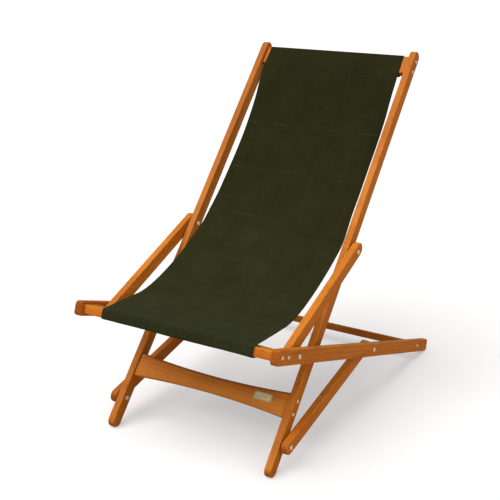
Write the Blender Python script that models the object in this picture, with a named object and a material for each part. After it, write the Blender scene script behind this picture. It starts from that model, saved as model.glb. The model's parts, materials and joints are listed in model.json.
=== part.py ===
"""Folding deck chair: hardwood frame on a crossed four-bar linkage, canvas sling seat.

World frame: metres, +Z up, the sitter faces -Y, X = 0 is the plane of symmetry and
Z = 0 is the floor. Side-view work is done first in the long rails' own frame: "s" runs
up the rail from its foot and "n" points out of its front face.
"""
import math

import bmesh
import bpy
from mathutils import Matrix, Vector

# ---- driving dimensions -------------------------------------------------------------
OVERALL_WIDTH = 0.600          # across the outer faces of the seat rails
RAIL_THICK = 0.0195            # every board's thickness
LAYER_GAP = 0.0035             # between neighbouring layers of boards, held by washers
EDGE_ROUND = 0.0025            # softened edges of every board

LONG_LENGTH, LONG_DEPTH = 1.270, 0.036
LINK_DEPTH = 0.0355
SEAT_DEPTH = 0.039
SEAT_CORNER = 0.010            # corner radius at both ends of a seat rail

UPPER_PIVOT_S = 0.629          # pivot of the upper link on the long rail
UPPER_LINK = 0.400             # pivot to pivot
SEAT_SPAN = 0.486              # front pivot to rear pivot on the seat rail
OPEN_LINK, OPEN_SEAT = 153.7, -67.94        # angles from the long rail, chair open
FOLDED_LINK, FOLDED_SEAT = 4.25, -175.9     # the same, chair folded flat

UPPER_TAIL = 0.030             # how far each board runs past its pivots
UPPER_NOSE = 0.019
LOWER_TAIL = 0.020
LOWER_NOSE = 0.024
SEAT_FRONT = 0.113
SEAT_REAR = 0.962              # from the front pivot to the rear end

FRONT_RAIL_DEEP, FRONT_RAIL_HIGH = 0.050, 0.0235
FRONT_RAIL_AT = -0.0745        # centre, along the seat rail from the front pivot
REAR_BAR_DEEP, REAR_BAR_HIGH = 0.020, 0.022
REAR_BAR_AT = 0.863
TOP_RAIL_S, TOP_RAIL_TALL = 1.2225, 0.057
TOP_RAIL_N = -0.0018
STRETCHER_S, STRETCHER_N = 0.182, 0.0030
STRETCHER_TALL, STRETCHER_WAIST = 0.066, 0.044

CLOTH = 0.0016                 # thickness of the canvas
CLOTH_GAP = 0.0006             # between the canvas and the rail inside its sleeve
LIP_CHAMFER = 0.0012           # eased bend where the canvas turns over the front rail
SLING_TOP_WIDTH, SLING_FRONT_WIDTH = 0.440, 0.450

FIT = 0.0003                   # clearance between faces that meet
HEAD_RADIUS, HEAD_HEIGHT = 0.0065, 0.0024
BARREL_RADIUS, BARREL_WALL = 0.0040, 0.0012
SHANK_LENGTH, BARREL_BORE = 0.030, 0.034    # a cap bolt, and the blind bore it sits in
SCREW_HEAD_RADIUS, SCREW_HEAD_HEIGHT, SCREW_RADIUS = 0.0050, 0.0018, 0.0020
SCREW_LENGTH, SCREW_TIP = 0.042, 0.006
SCREW_HOLE_SPARE = 0.002       # how far a blind screw hole runs past the screw's point
WIDE_PAIR, NARROW_PAIR = 0.0175, 0.016      # screws of a pair, each from the middle
WASHER_RADIUS = 0.0085
TURN_STEPS = 14                # sides of every turned piece
ARC_STEPS = 8                  # facets in a half-round board end
WAIST_STEPS = 16               # facets in each drawn-in edge of the stretcher
SMALL_CORNER = 0.003           # corner radius of the front rail and the rear bar

LABEL_WIDE, LABEL_TALL, LABEL_THICK = 0.052, 0.022, 0.0008
LABEL_X, LABEL_S = 0.163, 0.186

# ---- lateral layers, worked from the outside in ---------------------------------------
SEAT_OUT = OVERALL_WIDTH / 2
SEAT_IN = SEAT_OUT - RAIL_THICK
LINK_OUT = SEAT_IN - LAYER_GAP
LINK_IN = LINK_OUT - RAIL_THICK
LONG_OUT = LINK_IN - LAYER_GAP
LONG_IN = LONG_OUT - RAIL_THICK


# ---- side view ------------------------------------------------------------------------
def polar(length, degrees):
    angle = math.radians(degrees)
    return Vector((length * math.cos(angle), length * math.sin(angle)))


def direction(vector):
    return math.degrees(math.atan2(vector.y, vector.x))


UPPER_PIVOT = Vector((UPPER_PIVOT_S, 0.0))
FRONT_PIVOT = UPPER_PIVOT + polar(UPPER_LINK, OPEN_LINK)
REAR_PIVOT = FRONT_PIVOT + polar(SEAT_SPAN, OPEN_SEAT)
FOLDED_REAR = UPPER_PIVOT + polar(UPPER_LINK, FOLDED_LINK) + polar(SEAT_SPAN, FOLDED_SEAT)
# The lower pivot is the point of the rail that is as far from the rear pivot when the
# chair is open as when it is folded.
LOWER_PIVOT = Vector((
    (REAR_PIVOT.length_squared - FOLDED_REAR.length_squared)
    / (2 * (REAR_PIVOT.x - FOLDED_REAR.x)), 0.0))
LOWER_LINK = (REAR_PIVOT - LOWER_PIVOT).length


def floor_angle():
    """Lean of the long rail: the floor touches its round foot and the seat rail's end."""
    foot = Vector((LONG_DEPTH / 2, 0.0))
    along = polar(1.0, OPEN_SEAT)
    under = polar(1.0, OPEN_SEAT - 90)
    heel = (FRONT_PIVOT + along * (SEAT_REAR - SEAT_CORNER)
            + under * (SEAT_DEPTH / 2 - SEAT_CORNER))
    reach = heel - foot
    return -(direction(reach)
             - math.degrees(math.asin((SEAT_CORNER - LONG_DEPTH / 2) / reach.length)))


LEAN = floor_angle()


def turned_up(point):
    """Long-rail (s, n) to side-view (y, z), the rail's foot centre at y = 0."""
    y_axis, z_axis = polar(1.0, LEAN), polar(1.0, LEAN + 90)
    y, z = y_axis * point.x + z_axis * point.y
    return Vector((y, z))


FOOT_CENTRE = turned_up(Vector((LONG_DEPTH / 2, 0.0)))
LIFT = LONG_DEPTH / 2 - FOOT_CENTRE.y
SEAT_ANGLE = LEAN + OPEN_SEAT


def y_extent():
    """Front and rear of the whole chair, both ends of the seat rail with round corners."""
    pivot = turned_up(FRONT_PIVOT)
    along, up = polar(1.0, SEAT_ANGLE), polar(1.0, SEAT_ANGLE + 90)
    corner = SEAT_DEPTH / 2 - SEAT_CORNER
    front = pivot - along * (SEAT_FRONT - SEAT_CORNER) - up * corner
    rear = pivot + along * (SEAT_REAR - SEAT_CORNER) + up * corner
    return front.x - SEAT_CORNER, rear.x + SEAT_CORNER


Y_FRONT, Y_REAR = y_extent()
SHIFT = -(Y_FRONT + Y_REAR) / 2


def side(point):
    """Long-rail (s, n) to world (y, z)."""
    y, z = turned_up(Vector(point))
    return Vector((y + SHIFT, z + LIFT))


def seat_point(along, up):
    """A point given along and above the seat rail's centre line, as (s, n)."""
    return FRONT_PIVOT + polar(1.0, OPEN_SEAT) * along + polar(1.0, OPEN_SEAT + 90) * up


# ---- materials --------------------------------------------------------------------------
def material(name, colour, roughness, metallic=0.0):
    made = bpy.data.materials.new(name)
    made.use_nodes = True
    shader = made.node_tree.nodes["Principled BSDF"]
    shader.inputs["Base Color"].default_value = (*colour, 1.0)
    shader.inputs["Roughness"].default_value = roughness
    shader.inputs["Metallic"].default_value = metallic
    return made


# ---- building blocks --------------------------------------------------------------------
def new_object(name, mesh_builder, finish):
    mesh = bpy.data.meshes.new(name)
    mesh_builder.to_mesh(mesh)
    mesh_builder.free()
    made = bpy.data.objects.new(name, mesh)
    bpy.context.scene.collection.objects.link(made)
    made.data.materials.append(finish)
    made.data.shade_smooth()
    made.data.set_sharp_from_angle(angle=math.radians(35))
    return made


def prism(outline, low_x, high_x):
    """A closed outline of (y, z) points, counter-clockwise seen from +X, extruded in X."""
    shape = bmesh.new()
    ring = [shape.verts.new((low_x, y, z)) for y, z in outline]
    face = shape.faces.new(reversed(ring))
    grown = bmesh.ops.extrude_face_region(shape, geom=[face], use_keep_orig=True)
    moved = [item for item in grown["geom"] if isinstance(item, bmesh.types.BMVert)]
    bmesh.ops.translate(shape, verts=moved, vec=(high_x - low_x, 0, 0))
    bmesh.ops.recalc_face_normals(shape, faces=shape.faces)
    return shape


def arc(centre, radius, start, end, steps):
    for k in range(steps + 1):
        angle = math.radians(start + (end - start) * k / steps)
        yield (centre[0] + radius * math.cos(angle), centre[1] + radius * math.sin(angle))


def round_ended(low, high, depth):
    """Outline of a board from low to high along Y with half-round ends."""
    half = depth / 2
    return [*arc((high - half, 0), half, -90, 90, ARC_STEPS),
            *arc((low + half, 0), half, 90, 270, ARC_STEPS)]


def round_cornered(low, high, depth, corner):
    """Outline of a board from low to high along Y with rounded corners."""
    half = depth / 2
    points = []
    for y, z, start in ((high - corner, corner - half, -90), (high - corner, half - corner, 0),
                        (low + corner, half - corner, 90), (low + corner, corner - half, 180)):
        points.extend(arc((y, z), corner, start, start + 90, ARC_STEPS // 2))
    return points


def soften(target, width=EDGE_ROUND, segments=2):
    bevel = target.modifiers.new("soft_edges", "BEVEL")
    bevel.width = width
    bevel.segments = segments
    bevel.limit_method = "ANGLE"
    bevel.angle_limit = math.radians(50)


def bore(target, centre, radius, length=2.5 * RAIL_THICK):
    """Drill a round hole along X into a board; centre is in the board's own frame."""
    shape = bmesh.new()
    bmesh.ops.create_cone(shape, cap_ends=True, segments=TURN_STEPS, radius1=radius,
                          radius2=radius, depth=length)
    bmesh.ops.rotate(shape, verts=shape.verts, cent=(0, 0, 0),
                     matrix=Matrix.Rotation(math.pi / 2, 3, "Y"))
    mesh = bpy.data.meshes.new(target.name + "_drill")
    shape.to_mesh(mesh)
    shape.free()
    drill = bpy.data.objects.new(target.name + "_drill", mesh)
    bpy.context.scene.collection.objects.link(drill)
    drill.parent = target
    drill.location = centre
    drill.hide_render = True
    drill.display_type = "WIRE"
    cut = target.modifiers.new("drill", "BOOLEAN")
    cut.operation = "DIFFERENCE"
    cut.solver = "EXACT"
    cut.object = drill


def place(target, x, point, angle):
    """Put a side board on its (y, z) point, turned about X so its own Y runs at angle."""
    target.location = (x, point.x, point.y)
    target.rotation_euler = (math.radians(angle), 0, 0)


def turned(profile):
    """A closed solid turned about X from (x, radius) points that start and end on X."""
    shape = bmesh.new()
    verts = [shape.verts.new((x, 0, radius)) for x, radius in profile]
    edges = [shape.edges.new(pair) for pair in zip(verts, verts[1:])]
    bmesh.ops.spin(shape, geom=verts + edges, cent=(0, 0, 0), axis=(1, 0, 0),
                   angle=math.tau, steps=TURN_STEPS, use_merge=True)
    bmesh.ops.remove_doubles(shape, verts=shape.verts, dist=1e-6)
    bmesh.ops.recalc_face_normals(shape, faces=shape.faces)
    return shape


def domed_head(radius, height):
    """Outer profile of a low domed head that stands on x = 0 and rises towards +X."""
    dome = ((1.0, 0.0), (0.93, 0.45), (0.62, 0.85), (0.25, 1.0), (0.0, 1.0))
    return [(height * up, radius * out) for up, out in dome]


# ---- fasteners ----------------------------------------------------------------------------
def fastener(name, profile, side_sign, x, point, finish):
    """A turned piece whose head faces outwards on its own side of the chair."""
    made = new_object(name, turned(profile), finish)
    made.location = (side_sign * x, point.x, point.y)
    made.rotation_euler = (0, 0, 0 if side_sign > 0 else math.pi)
    return made


def cap_bolt(name, side_sign, x, point, finish):
    """Head on an outer face at x, with a plain shank inside the barrel nut."""
    shank = BARREL_RADIUS - BARREL_WALL - FIT
    profile = domed_head(HEAD_RADIUS, HEAD_HEIGHT) + [(0.0, shank), (-SHANK_LENGTH, shank),
                                                      (-SHANK_LENGTH, 0.0)]
    return fastener(name, profile, side_sign, x + FIT, point, finish)


def shoulder_bolt(name, side_sign, x, point, finish):
    """Head on the seat rail's outer face; its shoulder stops inside the layer gap."""
    reach = -(RAIL_THICK + LAYER_GAP - FIT)
    profile = domed_head(HEAD_RADIUS, HEAD_HEIGHT) + [(0.0, BARREL_RADIUS),
                                                      (reach, BARREL_RADIUS), (reach, 0.0)]
    return fastener(name, profile, side_sign, x + FIT, point, finish)


def barrel_nut(name, side_sign, x, point, barrel, finish, bored=True):
    """Head on an inner face at x, with a barrel running outwards through the boards."""
    head = [(-px, radius) for px, radius in domed_head(HEAD_RADIUS, HEAD_HEIGHT)]
    tail = [(0.0, BARREL_RADIUS), (barrel, BARREL_RADIUS)]
    if bored:
        inner = BARREL_RADIUS - BARREL_WALL
        tail += [(barrel, inner), (barrel - BARREL_BORE, inner), (barrel - BARREL_BORE, 0.0)]
    else:
        tail += [(barrel, 0.0)]
    return fastener(name, head + tail, side_sign, x - FIT, point, finish)


def screw(name, side_sign, x, point, finish):
    profile = domed_head(SCREW_HEAD_RADIUS, SCREW_HEAD_HEIGHT) + [
        (0.0, SCREW_RADIUS), (SCREW_TIP - SCREW_LENGTH, SCREW_RADIUS), (-SCREW_LENGTH, 0.0)]
    return fastener(name, profile, side_sign, x + FIT, point, finish)


def washer(name, side_sign, x, point, finish):
    """A flat ring in the gap between two boards; x is the middle of the gap."""
    half = LAYER_GAP / 2 - FIT
    hole = BARREL_RADIUS + FIT
    shape = bmesh.new()
    ring = [shape.verts.new((px, 0, radius)) for px, radius in
            ((-half, hole), (half, hole), (half, WASHER_RADIUS), (-half, WASHER_RADIUS))]
    edges = [shape.edges.new((ring[k - 1], ring[k])) for k in range(len(ring))]
    bmesh.ops.spin(shape, geom=ring + edges, cent=(0, 0, 0), axis=(1, 0, 0),
                   angle=math.tau, steps=TURN_STEPS, use_merge=True)
    bmesh.ops.recalc_face_normals(shape, faces=shape.faces)
    made = new_object(name, shape, finish)
    made.location = (side_sign * x, point.x, point.y)
    return made


# ---- boards -------------------------------------------------------------------------------
SIDES = (("left", -1), ("right", 1))
PIVOT_HOLE = BARREL_RADIUS + FIT
SCREW_HOLE = SCREW_RADIUS + FIT
STRETCHER_SCREWS = (STRETCHER_S - WIDE_PAIR, STRETCHER_S + WIDE_PAIR)
TOP_SCREWS = (TOP_RAIL_S - WIDE_PAIR, TOP_RAIL_S + WIDE_PAIR)
FRONT_SCREWS = (FRONT_RAIL_AT - NARROW_PAIR, FRONT_RAIL_AT + NARROW_PAIR)


def long_rails(wood):
    for word, sign in SIDES:
        outline = round_ended(0.0, LONG_LENGTH, LONG_DEPTH)
        rail = new_object(f"long_rail_{word}", prism(outline, -RAIL_THICK / 2, RAIL_THICK / 2),
                          wood)
        place(rail, sign * (LONG_IN + LONG_OUT) / 2, side((0, 0)), LEAN)
        soften(rail)
        for s in (UPPER_PIVOT.x, LOWER_PIVOT.x):
            bore(rail, (0, s, 0), PIVOT_HOLE)
        for s in STRETCHER_SCREWS:
            bore(rail, (0, s, STRETCHER_N), SCREW_HOLE)
        for s in TOP_SCREWS:
            bore(rail, (0, s, TOP_RAIL_N), SCREW_HOLE)


def links(wood):
    upper_angle = LEAN + OPEN_LINK
    lower_angle = LEAN + direction(REAR_PIVOT - LOWER_PIVOT)
    boards = (("upper_link", UPPER_PIVOT, UPPER_LINK, UPPER_TAIL, UPPER_NOSE, upper_angle),
              ("lower_link", LOWER_PIVOT, LOWER_LINK, LOWER_TAIL, LOWER_NOSE, lower_angle))
    for stem, pivot, span, tail, nose, angle in boards:
        for word, sign in SIDES:
            outline = round_ended(-tail, span + nose, LINK_DEPTH)
            board = new_object(f"{stem}_{word}",
                               prism(outline, -RAIL_THICK / 2, RAIL_THICK / 2), wood)
            place(board, sign * (LINK_IN + LINK_OUT) / 2, side(pivot), angle)
            soften(board)
            for y in (0.0, span):
                bore(board, (0, y, 0), PIVOT_HOLE)


def seat_rails(wood):
    for word, sign in SIDES:
        outline = round_cornered(-SEAT_FRONT, SEAT_REAR, SEAT_DEPTH, SEAT_CORNER)
        rail = new_object(f"seat_rail_{word}", prism(outline, -RAIL_THICK / 2, RAIL_THICK / 2),
                          wood)
        place(rail, sign * (SEAT_IN + SEAT_OUT) / 2, side(FRONT_PIVOT), SEAT_ANGLE)
        soften(rail)
        for y in (0.0, SEAT_SPAN):
            bore(rail, (0, y, 0), PIVOT_HOLE)
        for y in (*FRONT_SCREWS, REAR_BAR_AT):
            bore(rail, (0, y, 0), SCREW_HOLE)


def blind_holes(piece, half_width, along):
    """Screw holes in both end faces of a cross-piece, at these places along its own Y."""
    deep = SCREW_LENGTH - RAIL_THICK + SCREW_HOLE_SPARE
    proud = 0.002
    for y in along:
        for sign in (-1, 1):
            bore(piece, (sign * (half_width + (proud - deep) / 2), y, 0), SCREW_HOLE,
                 deep + proud)


def cross_piece(name, half_width, outline, point, angle, screw_places, wood):
    """A board from side to side that is screwed through the rails into both its ends."""
    piece = new_object(name, prism(outline, FIT - half_width, half_width - FIT), wood)
    place(piece, 0, point, angle)
    soften(piece)
    blind_holes(piece, half_width, screw_places)


def front_rail(wood):
    outline = round_cornered(FRONT_RAIL_AT - FRONT_RAIL_DEEP / 2,
                             FRONT_RAIL_AT + FRONT_RAIL_DEEP / 2, FRONT_RAIL_HIGH,
                             SMALL_CORNER)
    cross_piece("front_rail", SEAT_IN, outline, side(FRONT_PIVOT), SEAT_ANGLE,
                FRONT_SCREWS, wood)


def rear_bar(wood):
    outline = round_cornered(REAR_BAR_AT - REAR_BAR_DEEP / 2,
                             REAR_BAR_AT + REAR_BAR_DEEP / 2, REAR_BAR_HIGH,
                             SMALL_CORNER)
    cross_piece("rear_bar", SEAT_IN, outline, side(FRONT_PIVOT), SEAT_ANGLE,
                [REAR_BAR_AT], wood)


def top_rail(wood):
    half_tall, half_thick = TOP_RAIL_TALL / 2, RAIL_THICK / 2
    outline = [(-half_tall, -half_thick), (half_tall, -half_thick),
               (half_tall, half_thick), (-half_tall, half_thick)]
    cross_piece("top_rail", LONG_IN, outline, side((TOP_RAIL_S, TOP_RAIL_N)), LEAN,
                (-WIDE_PAIR, WIDE_PAIR), wood)


def stretcher(wood):
    """Wide board whose top and bottom edges are drawn in towards the middle."""
    half_width = LONG_IN - FIT
    dip = (STRETCHER_TALL - STRETCHER_WAIST) / 2
    radius = (half_width ** 2 + dip ** 2) / (2 * dip)
    spread = math.degrees(math.asin(half_width / radius))
    centre = STRETCHER_WAIST / 2 + radius
    outline = [*arc((0, centre), radius, 270 + spread, 270 - spread, WAIST_STEPS),
               *arc((0, -centre), radius, 90 + spread, 90 - spread, WAIST_STEPS)]
    shape = bmesh.new()
    ring = [shape.verts.new((x, s, -RAIL_THICK / 2)) for x, s in outline]
    face = shape.faces.new(ring)
    grown = bmesh.ops.extrude_face_region(shape, geom=[face], use_keep_orig=True)
    moved = [item for item in grown["geom"] if isinstance(item, bmesh.types.BMVert)]
    bmesh.ops.translate(shape, verts=moved, vec=(0, 0, RAIL_THICK))
    bmesh.ops.recalc_face_normals(shape, faces=shape.faces)
    board = new_object("stretcher", shape, wood)
    place(board, 0, side((STRETCHER_S, STRETCHER_N)), LEAN)
    soften(board)
    blind_holes(board, LONG_IN, (-WIDE_PAIR, WIDE_PAIR))


def label_plate(finish):
    """Small blank plate on the stretcher's front face."""
    front = STRETCHER_N + RAIL_THICK / 2 + FIT
    outline = [(-LABEL_TALL / 2, 0), (LABEL_TALL / 2, 0),
               (LABEL_TALL / 2, LABEL_THICK), (-LABEL_TALL / 2, LABEL_THICK)]
    plate = new_object("label_plate", prism(outline, -LABEL_WIDE / 2, LABEL_WIDE / 2), finish)
    place(plate, LABEL_X, side((LABEL_S, front)), LEAN)


# ---- sling --------------------------------------------------------------------------------
def bezier(start, start_pull, end_pull, end, steps):
    """Points of a cubic curve, both ends included."""
    for k in range(steps + 1):
        t = k / steps
        u = 1 - t
        yield (Vector(start) * u ** 3 + Vector(start_pull) * (3 * u * u * t)
               + Vector(end_pull) * (3 * u * t * t) + Vector(end) * t ** 3)


SLING_HANG = Vector((1.192, 0.0106))       # where the canvas leaves the top rail
HANG_PULL, BELLY_PULL = Vector((1.110, 0.0050)), Vector((1.050, -0.0180))
SLING_BELLY = Vector((0.910, -0.0165))     # deepest sag of the back
BACK_PULL, LOW_PULL = Vector((0.820, -0.0165)), Vector((0.735, -0.0122))
SLING_BEND = Vector((0.655, -0.0060))      # where the back turns into the seat
BEND_PULL, SEAT_PULL = 0.050, 0.100        # how far each straight end shapes the curve
SEAT_LOW = seat_point(0.040, 0.0560)       # canvas above the front pivot
SEAT_LIP = seat_point(FRONT_RAIL_AT - FRONT_RAIL_DEEP / 2, FRONT_RAIL_HIGH / 2
                      + CLOTH_GAP + CLOTH / 2)
SLEEVE_SHORT = 0.004                       # how far the top sleeve stops short of a corner
BACK_STEPS, SEAT_STEPS = 5, 16             # rows of facets along each curve


def sling_curve():
    """Middle line of the seat canvas from the bend of the back to above the front pivot."""
    slack = (SLING_BEND - LOW_PULL).normalized()
    flat = (SEAT_LIP - SEAT_LOW).normalized()
    return list(bezier(SLING_BEND, SLING_BEND + slack * BEND_PULL,
                       SEAT_LOW - flat * SEAT_PULL, SEAT_LOW, SEAT_STEPS))


def ribbon(name, line, width_start, width_end, finish):
    """A closed sheet of canvas thickness that follows a line of (s, n) points."""
    travelled = [0.0]
    for before, after in zip(line, line[1:]):
        travelled.append(travelled[-1] + (after - before).length)
    shape = bmesh.new()
    rows = []
    for k, point in enumerate(line):
        ahead = line[min(k + 1, len(line) - 1)]
        behind = line[max(k - 1, 0)]
        along = (ahead - behind).normalized()
        offset = Vector((-along.y, along.x)) * (CLOTH / 2)
        half = (width_start + (width_end - width_start) * travelled[k] / travelled[-1]) / 2
        row = []
        for x, way in ((-half, 1), (half, 1), (half, -1), (-half, -1)):
            y, z = side(point + offset * way)
            row.append(shape.verts.new((x, y, z)))
        rows.append(row)
    for before, after in zip(rows, rows[1:]):
        for k in range(4):
            shape.faces.new((before[k - 1], before[k], after[k], after[k - 1]))
    shape.faces.new(rows[0])
    shape.faces.new(reversed(rows[-1]))
    bmesh.ops.recalc_face_normals(shape, faces=shape.faces)
    return new_object(name, shape, finish)


def sling(canvas):
    """Back canvas with its top sleeve, seat canvas, and front canvas with its sleeve."""
    grow = CLOTH_GAP + CLOTH / 2
    tall, thick = TOP_RAIL_TALL / 2 + grow, RAIL_THICK / 2 + grow
    top = Vector((TOP_RAIL_S, TOP_RAIL_N))
    wrap = [top + Vector(corner) for corner in
            ((-tall, -thick), (tall, -thick), (tall, thick), (SLEEVE_SHORT - tall, thick))]
    upper = list(bezier(SLING_HANG, HANG_PULL, BELLY_PULL, SLING_BELLY, BACK_STEPS))
    lower = list(bezier(SLING_BELLY, BACK_PULL, LOW_PULL, SLING_BEND, BACK_STEPS))
    middle_width = (SLING_TOP_WIDTH + SLING_FRONT_WIDTH) / 2
    ribbon("sling_back", wrap + upper[1:] + lower[1:], SLING_TOP_WIDTH, middle_width, canvas)

    slack = (SLING_BEND - LOW_PULL).normalized()
    seat = [SLING_BEND + slack * (2 * FIT)] + sling_curve()[1:]
    ribbon("sling_seat", seat, middle_width, SLING_FRONT_WIDTH, canvas)

    flat = (SEAT_LIP - SEAT_LOW).normalized()
    deep, high = FRONT_RAIL_DEEP / 2 + grow, FRONT_RAIL_HIGH / 2 + grow
    lip = FRONT_RAIL_AT - deep
    front = [SEAT_LOW + flat * (2 * FIT), seat_point(lip + LIP_CHAMFER, high),
             seat_point(lip, high - LIP_CHAMFER), seat_point(lip, -high),
             seat_point(FRONT_RAIL_AT + deep, -high)]
    ribbon("sling_front", front, SLING_FRONT_WIDTH, SLING_FRONT_WIDTH, canvas)


# ---- assembly -----------------------------------------------------------------------------
def pivots(steel):
    """Four pivots a side; the one at the rear of the seat is the linkage's opened one."""
    through = RAIL_THICK + LAYER_GAP + RAIL_THICK - FIT
    for word, sign in SIDES:
        for stem, pivot in (("upper_pivot", UPPER_PIVOT), ("lower_pivot", LOWER_PIVOT)):
            point = side(pivot)
            barrel_nut(f"{stem}_nut_{word}", sign, LONG_IN, point, through, steel)
            washer(f"{stem}_washer_{word}", sign, (LONG_OUT + LINK_IN) / 2, point, steel)
            cap_bolt(f"{stem}_bolt_{word}", sign, LINK_OUT, point, steel)
        point = side(FRONT_PIVOT)
        barrel_nut(f"front_pivot_nut_{word}", sign, LINK_IN, point, through, steel)
        washer(f"front_pivot_washer_{word}", sign, (LINK_OUT + SEAT_IN) / 2, point, steel)
        cap_bolt(f"front_pivot_bolt_{word}", sign, SEAT_OUT, point, steel)
        point = side(REAR_PIVOT)
        barrel_nut(f"rear_pivot_nut_{word}", sign, LINK_IN, point, RAIL_THICK - FIT, steel,
                   bored=False)
        washer(f"rear_pivot_washer_{word}", sign, (LINK_OUT + SEAT_IN) / 2, point, steel)
        shoulder_bolt(f"rear_pivot_bolt_{word}", sign, SEAT_OUT, point, steel)


def screws(steel):
    places = [(f"stretcher_screw_{k + 1}", LONG_OUT, Vector((s, STRETCHER_N)))
              for k, s in enumerate(STRETCHER_SCREWS)]
    places += [(f"top_rail_screw_{k + 1}", LONG_OUT, Vector((s, TOP_RAIL_N)))
               for k, s in enumerate(TOP_SCREWS)]
    places += [(f"front_rail_screw_{k + 1}", SEAT_OUT, seat_point(y, 0))
               for k, y in enumerate(FRONT_SCREWS)]
    places += [("rear_bar_screw", SEAT_OUT, seat_point(REAR_BAR_AT, 0))]
    for stem, x, point in places:
        for word, sign in SIDES:
            screw(f"{stem}_{word}", sign, x, side(point), steel)


def main():
    for old in list(bpy.data.objects):
        bpy.data.objects.remove(old)
    wood = material("oiled_hardwood", (0.46, 0.17, 0.035), 0.45)
    steel = material("plated_steel", (0.62, 0.50, 0.38), 0.35, 0.9)
    canvas = material("green_canvas", (0.022, 0.025, 0.012), 0.9)
    cream = material("cream_plate", (0.70, 0.60, 0.38), 0.6)
    long_rails(wood)
    links(wood)
    seat_rails(wood)
    front_rail(wood)
    rear_bar(wood)
    top_rail(wood)
    stretcher(wood)
    label_plate(cream)
    sling(canvas)
    pivots(steel)
    screws(steel)
    bpy.context.view_layer.update()


main()
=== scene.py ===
import json
import math

import bmesh
import bpy
from mathutils import Matrix, Vector
from mathutils.noise import noise


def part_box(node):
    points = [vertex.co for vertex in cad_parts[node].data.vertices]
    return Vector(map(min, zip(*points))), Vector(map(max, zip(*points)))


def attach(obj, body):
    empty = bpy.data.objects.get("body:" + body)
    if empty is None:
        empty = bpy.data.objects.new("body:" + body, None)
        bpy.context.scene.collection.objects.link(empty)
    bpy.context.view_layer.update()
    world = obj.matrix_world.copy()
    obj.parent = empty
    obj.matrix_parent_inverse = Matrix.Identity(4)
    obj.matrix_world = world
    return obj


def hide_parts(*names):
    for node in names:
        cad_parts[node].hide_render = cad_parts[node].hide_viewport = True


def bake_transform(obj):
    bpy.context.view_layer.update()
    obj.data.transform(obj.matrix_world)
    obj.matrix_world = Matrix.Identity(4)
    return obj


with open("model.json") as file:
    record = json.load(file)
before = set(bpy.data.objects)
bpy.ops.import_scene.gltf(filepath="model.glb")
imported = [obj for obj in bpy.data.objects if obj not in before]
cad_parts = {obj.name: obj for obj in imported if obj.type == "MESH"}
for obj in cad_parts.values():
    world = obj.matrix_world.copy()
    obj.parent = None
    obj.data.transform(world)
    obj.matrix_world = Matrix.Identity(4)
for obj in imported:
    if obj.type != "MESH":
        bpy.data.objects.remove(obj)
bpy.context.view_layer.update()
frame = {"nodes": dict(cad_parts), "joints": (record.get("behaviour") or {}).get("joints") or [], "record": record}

SCENE = bpy.context.scene
JOINTS = {joint["name"]: joint for joint in frame["joints"]}


# ---- the side view: (y, z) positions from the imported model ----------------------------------
def joint_at(name):
    place = JOINTS[name]["pos_m"]
    return Vector((place[1], place[2]))


def middle(node):
    low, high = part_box(node)
    return (Vector(low) + Vector(high)) / 2


def in_side(point):
    return Vector((point[1], point[2]))


def heading(start, end):
    return math.atan2(end.y - start.y, end.x - start.x)


UPPER_PIVOT, LOWER_PIVOT = joint_at("fold"), joint_at("lower_link_right_turn")
FRONT_PIVOT, REAR_PIVOT = joint_at("seat_turn"), in_side(middle("rear_pivot_bolt_right"))
LONG_ANGLE = heading(LOWER_PIVOT, UPPER_PIVOT)
SEAT_ANGLE = heading(FRONT_PIVOT, REAR_PIVOT)
UPPER_ANGLE = heading(FRONT_PIVOT, UPPER_PIVOT)
LOWER_ANGLE = heading(LOWER_PIVOT, REAR_PIVOT)


class Side:
    """A board's own directions in the Y-Z plane: along it, and up from it."""

    def __init__(self, origin, angle):
        self.origin = origin
        self.along = Vector((math.cos(angle), math.sin(angle)))
        self.up = Vector((-math.sin(angle), math.cos(angle)))

    def at(self, along, up):
        return self.origin + self.along * along + self.up * up

    def of(self, point):
        reach = point - self.origin
        return reach.dot(self.along), reach.dot(self.up)


def foot_of_rail():
    """The point of the long rail's centre line level with its very end."""
    line = Side(UPPER_PIVOT, LONG_ANGLE)
    lowest = min(line.of(in_side(vertex.co))[0]
                 for vertex in frame["nodes"]["long_rail_right"].data.vertices)
    return line.at(lowest, 0.0)


RAIL = Side(foot_of_rail(), LONG_ANGLE)
SEAT = Side(FRONT_PIVOT, SEAT_ANGLE)


def span(node, side):
    """Lowest and highest (along, up) of a node in a side's own directions."""
    places = [side.of(in_side(vertex.co)) for vertex in frame["nodes"][node].data.vertices]
    return ((min(p[0] for p in places), min(p[1] for p in places)),
            (max(p[0] for p in places), max(p[1] for p in places)))


FRONT_RAIL, TOP_RAIL = span("front_rail", SEAT), span("top_rail", RAIL)


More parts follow.
